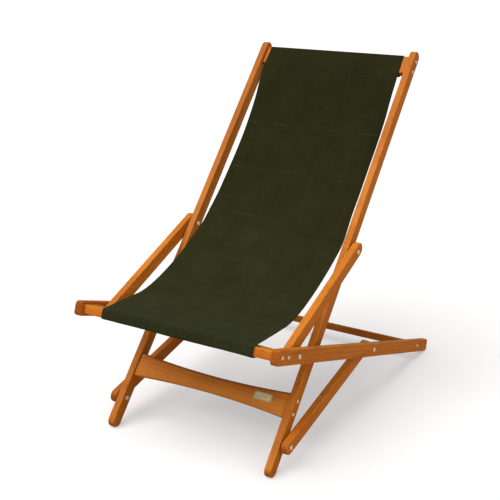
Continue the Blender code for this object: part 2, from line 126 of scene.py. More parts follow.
# ---- shader building ------------------------------------------------------------------------
class Graph:
    """Short-hand for the node tree of one material."""

    def __init__(self, name):
        self.material = bpy.data.materials.new(name)
        self.material.use_nodes = True
        self.tree = self.material.node_tree
        self.shader = self.tree.nodes["Principled BSDF"]

    def node(self, kind, inputs=None, **settings):
        made = self.tree.nodes.new(kind)
        for key, value in settings.items():
            setattr(made, key, value)
        for key, value in (inputs or {}).items():
            self.put(made.inputs[key], value)
        return made

    def put(self, socket, value):
        if isinstance(value, bpy.types.NodeSocket):
            self.tree.links.new(value, socket)
        elif isinstance(value, bpy.types.Node):
            self.tree.links.new(value.outputs[0], socket)
        else:
            socket.default_value = value

    def math(self, operation, a, b=0.0, c=0.0):
        return self.node("ShaderNodeMath", {0: a, 1: b, 2: c}, operation=operation).outputs[0]

    def noise(self, vector, scale, detail=3.0, roughness=0.55):
        return self.node("ShaderNodeTexNoise", {"Vector": vector, "Scale": scale,
                                                "Detail": detail,
                                                "Roughness": roughness}).outputs[0]

    def stretch(self, vector, scale, location=(0, 0, 0)):
        return self.node("ShaderNodeMapping", {"Vector": vector, "Scale": scale,
                                               "Location": location}).outputs[0]

    def ramp(self, value, stops):
        made = self.node("ShaderNodeValToRGB", {0: value})
        elements = made.color_ramp.elements
        while len(elements) < len(stops):
            elements.new(0.5)
        for element, (place, colour) in zip(elements, stops):
            element.position = place
            element.color = (*colour, 1.0)
        return made.outputs[0]

    def remap(self, value, low, high, out_low=0.0, out_high=1.0):
        """A smooth step from one value to the other as the input goes from low to high."""
        return self.node("ShaderNodeMapRange", {"Value": value, "From Min": low,
                                                "From Max": high, "To Min": out_low,
                                                "To Max": out_high},
                         interpolation_type="SMOOTHSTEP").outputs[0]

    def mix(self, factor, a, b, blend="MIX"):
        made = self.node("ShaderNodeMix", data_type="RGBA", blend_type=blend)
        self.put(made.inputs[0], factor)
        for socket, value in ((made.inputs[6], a), (made.inputs[7], b)):
            self.put(socket, (*value, 1.0) if isinstance(value, tuple) else value)
        return made.outputs[2]

    def bump(self, height, distance, strength=1.0, before=None):
        inputs = {"Height": height, "Distance": distance, "Strength": strength}
        if before is not None:
            inputs["Normal"] = before
        return self.node("ShaderNodeBump", inputs).outputs[0]

    def finish(self, **sockets):
        for key, value in sockets.items():
            self.put(self.shader.inputs[key.replace("_", " ")], value)
        return self.material


def own_place(g, where, centre, turn):
    """Object coordinates measured from a piece's centre in its own directions."""
    return g.node("ShaderNodeMapping", {"Vector": where, "Rotation": tuple(turn.to_euler()),
                                        "Location": tuple(-(turn @ Vector(centre)))}).outputs[0]


# ---- wood -----------------------------------------------------------------------------------
CORNER_WEAR = 0.0040           # how far from a board's corners the oil is rubbed pale
STRETCHER_WAIST = 0.022        # half of the stretcher's height at its narrowest
PAINTED_SHADE_RIM = 0.0090                   # depth of the painted shade along the stretcher's upper edge
HONEY = (0.54, 0.175, 0.016)
PALE = (0.66, 0.235, 0.026)
AMBER = (0.38, 0.098, 0.008)
UMBER = (0.16, 0.034, 0.003)


def wood(name, centre, turn, half, seed, tone_and_shade, waist=None):
    """Oiled hardwood. turn takes world directions to (along the grain, width, thickness)
    and half is half of the board's size in those directions. tone_and_shade makes it paler or
    darker, as the board's own tone together with painted shade and painted light for how it is
    lit, and waist is half of its height in the middle where its long edges are drawn in."""
    g = Graph(name)
    where = g.node("ShaderNodeTexCoord")
    local = own_place(g, where.outputs["Object"], centre, turn)
    shift = (seed * 3.17, seed * 1.31, seed * 2.23)
    # slow wander of the grain, so that the streaks drift across the board
    wander = g.noise(g.stretch(local, (2.2, 9.0, 9.0), shift), 1.0, 2.0)
    bend = g.node("ShaderNodeVectorMath", {0: local, 1: g.node(
        "ShaderNodeCombineXYZ", {0: 0.0, 1: g.math("MULTIPLY_ADD", wander, 0.030, -0.015),
                                 2: g.math("MULTIPLY_ADD", wander, 0.014, -0.007)})},
        operation="ADD").outputs[0]
    figure = g.noise(g.stretch(bend, (5.0, 75.0, 60.0), shift), 1.0, 4.0, 0.6)
    fibre = g.noise(g.stretch(bend, (14.0, 620.0, 520.0), shift), 1.0, 3.0, 0.6)
    rings = g.node("ShaderNodeTexWave", {"Vector": g.stretch(bend, (0.6, 1.0, 0.35), shift),
                                         "Scale": 26.0, "Distortion": 3.5, "Detail": 2.0,
                                         "Detail Scale": 1.6}, wave_type="BANDS",
                   bands_direction="Y").outputs[1]
    pores = g.noise(g.stretch(bend, (55.0, 1500.0, 1300.0), shift), 1.0, 1.0, 0.5)
    pores = g.remap(pores, 0.60, 0.70)
    base = g.ramp(figure, [(0.25, AMBER), (0.46, HONEY), (0.62, HONEY), (0.82, PALE)])
    base = g.mix(g.math("MULTIPLY", g.math("POWER", rings, 2.0), 0.55), base, AMBER)
    base = g.mix(g.remap(fibre, 0.35, 0.75, 0.0, 0.38), base, PALE)
    base = g.mix(g.math("MULTIPLY", pores, 0.60), base, UMBER)
    # blotches of oil, slower than anything else
    blotch = g.noise(g.stretch(local, (4.0, 14.0, 14.0), (seed, 0, seed)), 1.0, 2.0)
    base = g.mix(g.remap(blotch, 0.40, 0.68, 0.0, 0.50), base, AMBER)
    # cut ends drink more oil and go dark
    spot = g.node("ShaderNodeMapping", {"Vector": where.outputs["Normal"],
                                        "Rotation": tuple(turn.to_euler())},
                  vector_type="NORMAL").outputs[0]
    along = g.math("ABSOLUTE", g.node("ShaderNodeSeparateXYZ", {0: spot}).outputs[0])
    end = g.remap(along, 0.35, 0.90)
    ends = g.noise(g.stretch(local, (260.0, 330.0, 330.0), shift), 1.0, 2.0)
    base = g.mix(g.math("MULTIPLY", end, 0.78), base,
                 g.ramp(ends, [(0.35, UMBER), (0.65, AMBER)]))
    # corners rubbed pale
    parts = g.node("ShaderNodeSeparateXYZ", {0: local}).outputs
    across = g.remap(g.math("ABSOLUTE", parts[1]), half[1] - CORNER_WEAR, half[1] - 0.0010)
    through = g.remap(g.math("ABSOLUTE", parts[2]), half[2] - CORNER_WEAR, half[2] - 0.0010)
    edge = g.math("MULTIPLY", across, through)
    worn = g.math("MULTIPLY", edge, g.remap(g.noise(local, 24.0, 4.0), 0.42, 0.62))
    base = g.mix(g.math("MULTIPLY", worn, 0.55), base, PALE)
    if waist:                          # painted shade along the curved upper edge, and painted light in a paler band below it
        out = g.math("DIVIDE", parts[0], half[0])
        upper = g.math("MULTIPLY_ADD", g.math("MULTIPLY", out, out), half[1] - waist, waist)
        below = g.math("SUBTRACT", upper, parts[1])
        base = g.mix(g.remap(below, 0.0, PAINTED_SHADE_RIM, 0.85, 0.0), base, UMBER)
        base = g.mix(g.remap(below, PAINTED_SHADE_RIM, 4 * PAINTED_SHADE_RIM, 0.0, 0.45), base, PALE)
    # painted shade and painted light per board, mixed in with its own tone
    base = g.mix(1.0, base, (tone_and_shade, tone_and_shade, tone_and_shade), "MULTIPLY")
    rough = g.math("ADD", g.remap(figure, 0.3, 0.7, 0.40, 0.54),
                   g.math("MULTIPLY", pores, 0.12))
    rough = g.math("ADD", rough, g.math("MULTIPLY", end, 0.15))
    relief = g.math("SUBTRACT", g.math("MULTIPLY", fibre, 0.5), g.math("MULTIPLY", pores, 0.8))
    normal = g.bump(relief, 0.00022, 0.6)
    normal = g.bump(figure, 0.0006, 0.25, normal)
    return g.finish(Base_Color=base, Roughness=rough, Normal=normal, Specular_IOR_Level=0.14)


def turn_for(angle):
    """Rotation taking a side board's long direction, at angle in Y-Z, to local X."""
    along = Vector((0, math.cos(angle), math.sin(angle)))
    across = Vector((0, -math.sin(angle), math.cos(angle)))
    return Matrix((along, across, Vector((1, 0, 0)))).to_3x3()


def cross_turn(angle):
    """The same for a piece that runs from side to side; its width lies at angle."""
    width = Vector((0, math.cos(angle), math.sin(angle)))
    thick = Vector((0, -math.sin(angle), math.cos(angle)))
    return Matrix((Vector((1, 0, 0)), width, thick)).to_3x3()


def extent(node, turn):
    """Half sizes of a node in its own directions."""
    centre = middle(node)
    points = [turn @ (v.co - centre) for v in frame["nodes"][node].data.vertices]
    return [(max(p[k] for p in points) - min(p[k] for p in points)) / 2 for k in range(3)]


BOARD_ANGLES = {"long_rail": LONG_ANGLE, "upper_link": UPPER_ANGLE,
                "lower_link": LOWER_ANGLE, "seat_rail": SEAT_ANGLE}
# each board's own tone, with painted shade and painted light: the rear bar and the left long rail, lower link and
# seat rail are darkened as painted shade, and the right lower link and right seat rail are lightened as painted
# light
TONES_AND_PAINTED_SHADE = {"long_rail_left": 0.88, "long_rail_right": 0.99, "upper_link_left": 1.05,
         "upper_link_right": 1.04, "lower_link_left": 0.92, "lower_link_right": 1.10,
         "seat_rail_left": 0.88, "seat_rail_right": 1.03, "front_rail": 1.04,
         "rear_bar": 0.68, "top_rail": 0.92, "stretcher": 1.0}


def dress_boards():
    for seed, (node, tone_and_shade) in enumerate(TONES_AND_PAINTED_SHADE.items(), 1):
        if node.endswith(("left", "right")):
            turn = turn_for(BOARD_ANGLES[node.rsplit("_", 1)[0]])
        else:
            turn = cross_turn(SEAT_ANGLE if node in ("front_rail", "rear_bar") else LONG_ANGLE)
        finish = wood("wood_" + node, middle(node), turn, extent(node, turn), seed, tone_and_shade,
                      STRETCHER_WAIST if node == "stretcher" else None)
        part = frame["nodes"][node]
        part.data.materials.clear()
        part.data.materials.append(finish)


# ---- metal and label --------------------------------------------------------------------------
BORDER = 0.0015                # from the plate's edge to the middle of the line round it


def metal(name, colour, rough, seed):
    g = Graph(name)
    where = g.node("ShaderNodeTexCoord").outputs["Object"]
    grain = g.noise(where, 900.0, 3.0)
    cloud = g.noise(g.stretch(where, (1, 1, 1), (seed, seed, 0)), 260.0, 3.0)
    dull = tuple(c * 0.55 for c in colour)
    base = g.mix(g.remap(cloud, 0.45, 0.75), colour, dull)
    roughness = g.remap(cloud, 0.3, 0.7, rough - 0.06, rough + 0.14)
    return g.finish(Base_Color=base, Metallic=0.65, Roughness=roughness,
                    Normal=g.bump(grain, 0.00006, 0.5))


def label_finish():
    g = Graph("blank_plate")
    turn, centre = cross_turn(LONG_ANGLE), middle("label_plate")
    half = extent("label_plate", turn)
    local = own_place(g, g.node("ShaderNodeTexCoord").outputs["Object"], centre, turn)
    speck = g.noise(local, 700.0, 3.0)
    cloud = g.noise(local, 90.0, 2.0)
    base = g.ramp(cloud, [(0.3, (0.47, 0.38, 0.20)), (0.7, (0.62, 0.53, 0.31))])
    base = g.mix(g.remap(speck, 0.62, 0.72, 0.0, 0.5), base, (0.30, 0.21, 0.09))
    # a plain dark line just inside the plate's edge
    parts = g.node("ShaderNodeSeparateXYZ", {0: local}).outputs
    edge = g.math("MINIMUM", g.math("SUBTRACT", half[0], g.math("ABSOLUTE", parts[0])),
                  g.math("SUBTRACT", half[1], g.math("ABSOLUTE", parts[1])))
    line = g.remap(g.math("ABSOLUTE", g.math("SUBTRACT", edge, BORDER)), 0.0003, 0.0007,
                   0.8, 0.0)
    base = g.mix(line, base, (0.10, 0.055, 0.020))
    return g.finish(Base_Color=base, Roughness=g.remap(cloud, 0.3, 0.7, 0.42, 0.6),
                    Normal=g.bump(speck, 0.00005, 0.5))


ROUND = 24                     # corners in each turned ring of a fastener


def hexagon(angle):
    """Radius of a hexagon socket at an angle, as a share of the circle inside it."""
    return 1 / math.cos((angle + math.pi / 6) % (math.pi / 3) - math.pi / 6)


def cross(angle):
    """Radius of a cross recess at an angle, as a share of its arms' length."""
    near = abs((angle + math.pi / 4) % (math.pi / 2) - math.pi / 4)
    return 1.0 if near < 0.10 else 0.86 if near < 0.30 else 0.34


def fastener(node, body, finish):
    """A pan head with a driving recess on its shank, in the place of a plain CAD one."""
    places = [vertex.co for vertex in frame["nodes"][node].data.vertices]
    centre = middle(node)
    reach = [((place.y - centre.y) ** 2 + (place.z - centre.z) ** 2) ** 0.5
             for place in places]
    wide = max(reach)
    low, high = min(place.x for place in places), max(place.x for place in places)
    head = [place.x for place, r in zip(places, reach) if r > 0.97 * wide]
    way = 1 if high - max(head) < min(head) - low else -1
    base, tip, tail = (min(head), high, low) if way > 0 else (max(head), low, high)
    tall = abs(tip - base)
    shank = max(r for place, r in zip(places, reach) if abs(place.x - base) > 0.004
                and abs(place.x - tail) < 0.6 * abs(base - tail))
    recess, deep, size = (cross, 0.35, 0.62) if "_screw_" in node else (hexagon, 0.25, 0.43)
    rings = [(tail, shank, None), (base, shank, None), (base, wide, None),
             (base + way * 0.40 * tall, wide, None),
             (base + way * 0.74 * tall, 0.95 * wide, None),
             (base + way * 0.93 * tall, 0.84 * wide, None),
             (tip, 0.68 * wide, None), (tip, size * wide, recess),
             (base + way * deep * tall, 0.92 * size * wide, recess)]
    shape = bmesh.new()
    made = []
    for x, radius, outline in rings:
        ring = []
        for k in range(ROUND):
            angle = math.tau * k / ROUND
            r = radius * (outline(angle) if outline else 1.0)
            ring.append(shape.verts.new((x, centre.y + r * math.cos(angle),
                                         centre.z + r * math.sin(angle))))
        made.append(ring)
    for index, (one, two) in enumerate(zip(made, made[1:])):
        for k in range(ROUND):
            n = (k + 1) % ROUND
            face = shape.faces.new((one[k], one[n], two[n], two[k]))
            face.smooth = index in (0, 2, 3, 4, 5)
    shape.faces.new(made[0])
    floor = shape.verts.new((base + way * (deep - 0.08) * tall, centre.y, centre.z))
    for k in range(ROUND):
        shape.faces.new((made[-1][k], made[-1][(k + 1) % ROUND], floor))
    bmesh.ops.recalc_face_normals(shape, faces=shape.faces)
    mesh = bpy.data.meshes.new("turned_" + node)
    shape.to_mesh(mesh)
    shape.free()
    piece = bpy.data.objects.new("turned_" + node, mesh)
    SCENE.collection.objects.link(piece)
    mesh.materials.append(finish)
    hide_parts(node)
    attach(piece, body)


def dress_metal():
    steel = metal("plated_steel", (0.96, 0.88, 0.74), 0.36, 1.0)
    ring = metal("washer_steel", (0.62, 0.58, 0.52), 0.40, 4.0)
    for body, nodes in frame["record"]["behaviour"]["bodies"].items():
        for name in nodes:
            if any(word in name for word in ("_nut_", "_bolt_", "_screw_")):
                fastener(name, body, steel)
            elif "_washer_" in name:
                frame["nodes"][name].data.materials.clear()
                frame["nodes"][name].data.materials.append(ring)
    plate = frame["nodes"]["label_plate"]
    plate.data.materials.clear()
    plate.data.materials.append(label_finish())


# ---- canvas sling -----------------------------------------------------------------------------
CLOTH = 0.0013                 # one layer of canvas
COVER = 0.0014                 # from a rail's face to the middle of the canvas round it
SEAM_TOP = 1.176               # where the top sleeve is sewn shut
SEAM_LAP = 0.010               # doubled canvas at that seam
# the back's line, as places up the long rail and out of its middle: it hangs from the top
# rail to its belly and on to the bend above the seat, and each pull shapes a stretch of it
TOP_PULL, BELLY_PULL, BELLY = (1.110, 0.0050), (1.050, -0.0180), (0.910, -0.0165)
BACK_PULL, LOW_PULL, BEND = (0.820, -0.0165), (0.735, -0.0122), (0.655, -0.0060)
SEAT_LOW = (0.040, 0.0560)     # where the seat rises straight to the lip, on the seat rail
BEND_PULL, LIP_PULL = 0.050, 0.100         # how far each end of the seat's curve runs straight
SLEEVE_ROUND, LIP_ROUND = 0.0040, 0.0062   # bends of the canvas round each rail
SLEEVE_ROW, OPEN_ROW, LIP_ROW = 0.0017, 0.0040, 0.0015     # rows of its mesh
# half widths of the canvas at places along it (along the canvas, half of its width)
WIDTHS = ((0.00, 0.2185), (0.13, 0.2188), (0.20, 0.2204), (0.285, 0.2180), (0.46, 0.2164),
          (0.60, 0.2178), (0.74, 0.2238), (1.00, 0.2246), (1.40, 0.2236))
TOP_SLIP, FRONT_SLIP = -0.0022, 0.0045     # how far the canvas sits toward +X
HEM = 0.0125                   # folded side hem
STITCH_LINE = 0.0096           # from the canvas's edge to the hem's stitches
STITCH_PITCH = 0.0038
ROW_GAP = 0.0035               # from the sleeve's seam to each of its two rows of stitches
CREASES = (0.372, 0.528, 0.680, 0.846, 0.983)      # old fold lines, along the canvas
CUT = 0.846                    # where the canvas is cut into its back and seat pieces
WAVE, RIPPLE, EDGE_ROLL, CREASE = 0.0017, 0.00045, 0.0026, 0.00055     # heights of its relief


def bezier(a, b, c, d, steps):
    """Points of a curve from a to d that b and c pull at."""
    for k in range(steps + 1):
        t = k / steps
        u = 1 - t
        yield a * u ** 3 + b * (3 * u * u * t) + c * (3 * u * t * t) + d * t ** 3


def filleted(points, radius, step=0.0010):
    """A polyline with every inner corner rounded."""
    line = [points[0]]
    for before, corner, after in zip(points, points[1:], points[2:]):
        one, two = (before - corner).normalized(), (after - corner).normalized()
        half = one.angle(two) / 2
        cut = min(radius / math.tan(half), 0.45 * (before - corner).length,
                  0.45 * (after - corner).length)
        start, end = corner + one * cut, corner + two * cut
        steps = max(2, int(cut * (math.pi - 2 * half) / step))
        for k in range(steps + 1):
            t = k / steps
            line.append(start * (1 - t) ** 2 + corner * (2 * t * (1 - t)) + end * t * t)
    line.append(points[-1])
    return line


def resampled(points, step):
    """The same line in equal steps of about this length."""
    reach = [0.0]
    for before, after in zip(points, points[1:]):
        reach.append(reach[-1] + (after - before).length)
    count = round(reach[-1] / step)
    made, k = [], 0
    for row in range(count + 1):
        want = reach[-1] * row / count
        while k < len(reach) - 2 and reach[k + 1] < want:
            k += 1
        gap = max(reach[k + 1] - reach[k], 1e-12)
        made.append(points[k].lerp(points[k + 1], (want - reach[k]) / gap))
    return made


def sling_line():
    """Middle line of the canvas: up behind the top rail, over it, down the back, along the
    seat, over the front rail, under it and up its rear face."""
    (top_low, top_back), (top_high, top_front) = (
        [edge - COVER for edge in TOP_RAIL[0]], [edge + COVER for edge in TOP_RAIL[1]])
    hang, belly = RAIL.at(top_low, top_front + 0.0008), RAIL.at(*BELLY)
    before_bend, bend = RAIL.at(*LOW_PULL), RAIL.at(*BEND)
    back = list(bezier(hang, RAIL.at(*TOP_PULL), RAIL.at(*BELLY_PULL), belly, 60))
    back += list(bezier(belly, RAIL.at(*BACK_PULL), before_bend, bend, 40))[1:]
    behind = min((RAIL.of(point) for point in back), key=lambda sn: abs(sn[0] - SEAM_TOP))[1]
    behind -= CLOTH + 0.0001
    sleeve = [RAIL.at(SEAM_TOP - SEAM_LAP / 2, behind - 0.0005),
              RAIL.at(SEAM_TOP + SEAM_LAP / 2, behind),
              RAIL.at(top_low, top_back), RAIL.at(top_high, top_back),
              RAIL.at(top_high, top_front), back[0]]

    low = SEAT.at(*SEAT_LOW)
    (front_out, front_low), (front_in, front_high) = (
        [edge - COVER for edge in FRONT_RAIL[0]], [edge + COVER for edge in FRONT_RAIL[1]])
    lip = SEAT.at(front_out, front_high)
    flat = (lip - low).normalized()
    slack = (bend - before_bend).normalized()
    seat = list(bezier(bend, bend + slack * BEND_PULL, low - flat * LIP_PULL, low, 60))
    seat.append(lip.lerp(low, 0.16))
    front = [seat[-1], lip, SEAT.at(front_out - 0.0006, front_low - 0.0010),
             SEAT.at(front_in + 0.0005, front_low - 0.0004),
             SEAT.at(front_in + 0.0005, front_high - 0.0030)]
    return (resampled(filleted(sleeve, SLEEVE_ROUND), SLEEVE_ROW)
            + resampled(back + seat[1:], OPEN_ROW)[1:]
            + resampled(filleted(front, LIP_ROUND), LIP_ROW)[1:])


LINE = sling_line()
REACH = [0.0]
for _before, _after in zip(LINE, LINE[1:]):
    REACH.append(REACH[-1] + (_after - _before).length)
TOTAL = REACH[-1]


def reach_near(point, low, high):
    """How far along the canvas it comes nearest to a point, between two reaches."""
    return min(((place - point).length, reach) for place, reach in zip(LINE, REACH)
               if low < reach < high)[1]


TOP_STITCH = reach_near(RAIL.at(SEAM_TOP, TOP_RAIL[1][1]), 0.150, 0.240)
LIP = reach_near(SEAT.at(FRONT_RAIL[0][0], FRONT_RAIL[1][1]), 1.0, TOTAL)


def smooth(value, low, high):
    """0 below low, 1 above high and a smooth step between them."""
    t = min(1.0, max(0.0, (value - low) / (high - low)))
    return t * t * (3 - 2 * t)


def half_width(reach):
    """Half of the canvas's width, which changes smoothly from one of WIDTHS to the next."""
    for (low, before), (high, after) in zip(WIDTHS, WIDTHS[1:]):
        if reach <= high:
            return before + (after - before) * smooth(reach, low, high)
    return WIDTHS[-1][1]


def sideways(reach):
    """How far the canvas has slipped toward +X, from the top rail to the front rail."""
    return (TOP_SLIP * (1 - smooth(reach, 0.20, 0.32))
            + FRONT_SLIP * smooth(reach, 0.72, LIP - 0.08))


def relief(reach, x):
    """How far the canvas stands off its middle line."""
    half = half_width(reach)
    free = smooth(reach, TOP_STITCH, TOP_STITCH + 0.09) * smooth(-reach, 0.06 - LIP, -LIP)
    broad = noise(Vector((x * 7.0, reach * 4.5, 2.3))) * WAVE
    fine = noise(Vector((x * 24.0, reach * 19.0, 7.1))) * RIPPLE
    height = (broad + fine) * free
    # the loose side edges roll a little
    roll = smooth(abs(x), half - 0.055, half)
    height += free * roll * EDGE_ROLL * noise(Vector((math.copysign(3.0, x), reach * 6.0, 0.5)))
    for place in CREASES:
        strength = 0.5 + 1.0 * noise(Vector((x * 9.0, place * 50.0, 4.0)))
        wander = 0.0022 * noise(Vector((x * 14.0, place * 31.0, 1.0)))
        height += CREASE * strength * math.exp(-((reach - place - wander) / 0.0045) ** 2)
    # one long crease down the middle
    height += 0.00030 * free * math.exp(-((x - 0.003) / 0.0045) ** 2)
    # cloth drawn in along the seam, and puffed a little over the front rail
    near = math.exp(-((reach - TOP_STITCH) / 0.020) ** 2)
    if near > 0.02:
        height += near * 0.00050 * noise(Vector((x * 75.0, 1.7, 1.7)))
        height -= 0.00045 * math.exp(-((reach - TOP_STITCH) / 0.0022) ** 2)
    puff = math.exp(-((reach - LIP - 0.010) / 0.016) ** 2)
    height += puff * (0.0006 + 0.0009 * noise(Vector((x * 11.0, 6.0, 2.0))))
    edge = half - abs(x)
    height += 0.0003 * noise(Vector((reach * 80.0, math.copysign(5.0, x), 0.0))) * math.exp(
        -((edge - HEM * 0.8) / 0.010) ** 2)
    return height


def locate(reach):
    """(point, direction) of the middle line at this reach."""
    k = min(range_index(reach), len(LINE) - 2)
    t = (reach - REACH[k]) / max(REACH[k + 1] - REACH[k], 1e-12)
    first = (LINE[k + 1] - LINE[max(k - 1, 0)]).normalized()
    second = (LINE[min(k + 2, len(LINE) - 1)] - LINE[k]).normalized()
    return LINE[k].lerp(LINE[k + 1], t), first.lerp(second, t).normalized()


def range_index(reach):
    """The row of LINE at or just before this reach."""
    low, high = 0, len(REACH) - 1
    while high - low > 1:
        half = (low + high) // 2
        low, high = (half, high) if REACH[half] <= reach else (low, half)
    return low


def on_canvas(reach, x, lift):
    """World point of the canvas, lifted off its middle surface, and its outward direction."""
    point, ahead = locate(reach)
    out = Vector((ahead.y, -ahead.x))
    place = point + out * (relief(reach, x) + lift)
    return Vector((x + sideways(reach), place.x, place.y)), Vector((0, out.x, out.y))


EDGE_COLUMNS = (0.0, 0.0012, 0.0034, 0.0066, 0.0088, 0.0104, 0.0118, 0.0130, 0.0160, 0.0205)
INNER_COLUMNS = 78


def columns(half):
    """Places across the canvas, closest together over the hems."""
    left = [-half + gap for gap in EDGE_COLUMNS]
    inner = half - EDGE_COLUMNS[-1]
    between = [-inner + 2 * inner * k / INNER_COLUMNS for k in range(1, INNER_COLUMNS)]
    return left + between + [-x for x in reversed(left)]


def hem_extra(reach, edge):
    """Extra thickness under the canvas where its side is folded under and sewn."""
    in_sleeve = 1 - smooth(reach, TOP_STITCH - 0.02, TOP_STITCH) * smooth(
        -reach, -LIP, 0.02 - LIP)
    deep = 0.0012 * (1 - 0.75 * in_sleeve)
    dent = 0.35 * math.exp(-((edge - STITCH_LINE) / 0.0012) ** 2)
    return deep * (1 - smooth(edge, HEM - 0.0012, HEM + 0.0012)) * (1 - dent)


def sling_piece(name, first, last, finish):
    """The canvas between two of its rows as a closed sheet."""
    shape = bmesh.new()
    marks = shape.loops.layers.uv.new("canvas")
    rows = []
    for k in range(first, last + 1):
        reach = REACH[k]
        half = half_width(reach)
        across = columns(half)
        top, bottom = [], []
        for x in across:
            edge = half - abs(x)
            pinch = 0.0003 * (1 - smooth(edge, 0.0, 0.0012))
            top.append((on_canvas(reach, x, CLOTH / 2 - pinch)[0], x))
            bottom.append((on_canvas(reach, x, pinch - CLOTH / 2 - hem_extra(reach, edge))[0],
                           x))
        right = ((top[-1][0] + bottom[-1][0]) / 2 + Vector((0.0006, 0, 0)), half + 0.0006)
        left = ((top[0][0] + bottom[0][0]) / 2 - Vector((0.0006, 0, 0)), -half - 0.0006)
        ring = [*top, right, *reversed(bottom), left]
        rows.append([(shape.verts.new(place), x, reach) for place, x in ring])
    count = len(rows[0])

    def face(corners):
        made = shape.faces.new([corner[0] for corner in corners])
        made.smooth = True
        for loop, corner in zip(made.loops, corners):
            loop[marks].uv = (corner[1], corner[2])
        return made

    for before, after in zip(rows, rows[1:]):
        for k in range(count):
            n = (k + 1) % count
            face((before[k], before[n], after[n], after[k]))
    wide = (count - 2) // 2
    for row, flip in ((rows[0], True), (rows[-1], False)):
        top, bottom = row[:wide], list(reversed(row[wide + 1:-1]))
        for k in range(wide - 1):
            corners = [top[k], top[k + 1], bottom[k + 1], bottom[k]]
            face(corners[::-1] if flip else corners)
        for corners in ([top[-1], row[wide], bottom[-1]], [top[0], bottom[0], row[-1]]):
            face(corners[::-1] if flip else corners)
        ends = {corner[0] for corner in row}
        for edge in shape.edges:
            if edge.verts[0] in ends and edge.verts[1] in ends and any(
                    all(vert in ends for vert in linked.verts) for linked in edge.link_faces):
                edge.smooth = False
    bmesh.ops.recalc_face_normals(shape, faces=shape.faces)
    mesh = bpy.data.meshes.new(name)
    shape.to_mesh(mesh)
    shape.free()
    made = bpy.data.objects.new(name, mesh)
    SCENE.collection.objects.link(made)
    mesh.materials.append(finish)
    return made


def stitch(shape, place, along, out, length=0.0013, radius=0.00034):
    """One short thread lying on the canvas, thick in the middle and dipping at its ends."""
    side = along.cross(out)
    rings = []
    for t in (-0.55, 0.55):
        ring = []
        for k in range(6):
            angle = math.tau * k / 6
            ring.append(shape.verts.new(place + along * (length * t)
                                        + side * (radius * math.cos(angle))
                                        + out * (radius * math.sin(angle))))
        rings.append(ring)
    tips = [shape.verts.new(place + along * (length * t) - out * radius) for t in (-1.0, 1.0)]
    for k in range(6):
        n = (k + 1) % 6
        shape.faces.new((rings[0][k], rings[0][n], rings[1][n], rings[1][k]))
        shape.faces.new((rings[0][n], rings[0][k], tips[0]))
        shape.faces.new((rings[1][k], rings[1][n], tips[1]))


def stitching(name, low, high, cross_rows, finish):
    """Rows of stitches along both side hems, and across the canvas at these reaches."""
    shape = bmesh.new()
    for sign in (-1, 1):
        reach = low + STITCH_PITCH
        while reach < high:
            x = sign * (half_width(reach) - STITCH_LINE)
            place, out = on_canvas(reach, x, CLOTH / 2 + 0.0001)
            ahead = on_canvas(reach + 0.001, x, CLOTH / 2 + 0.0001)[0]
            stitch(shape, place, (ahead - place).normalized(), out)
            reach += STITCH_PITCH
    for reach in cross_rows:
        half = half_width(reach) - 0.003
        count = int(2 * half / STITCH_PITCH)
        for k in range(count + 1):
            place, out = on_canvas(reach, -half + 2 * half * k / count, CLOTH / 2 + 0.0001)
            stitch(shape, place, Vector((1, 0, 0)), out)
    for face in shape.faces:
        face.smooth = True
    bmesh.ops.recalc_face_normals(shape, faces=shape.faces)
    mesh = bpy.data.meshes.new(name)
    shape.to_mesh(mesh)
    shape.free()
    made = bpy.data.objects.new(name, mesh)
    SCENE.collection.objects.link(made)
    mesh.materials.append(finish)
    return made


THREAD_PAIR = 0.00125          # two threads of the plain weave
OLIVE = (0.0195, 0.0200, 0.0060)
OLIVE_LIGHT = (0.0270, 0.0268, 0.0090)
OLIVE_DEEP = (0.0135, 0.0155, 0.0048)


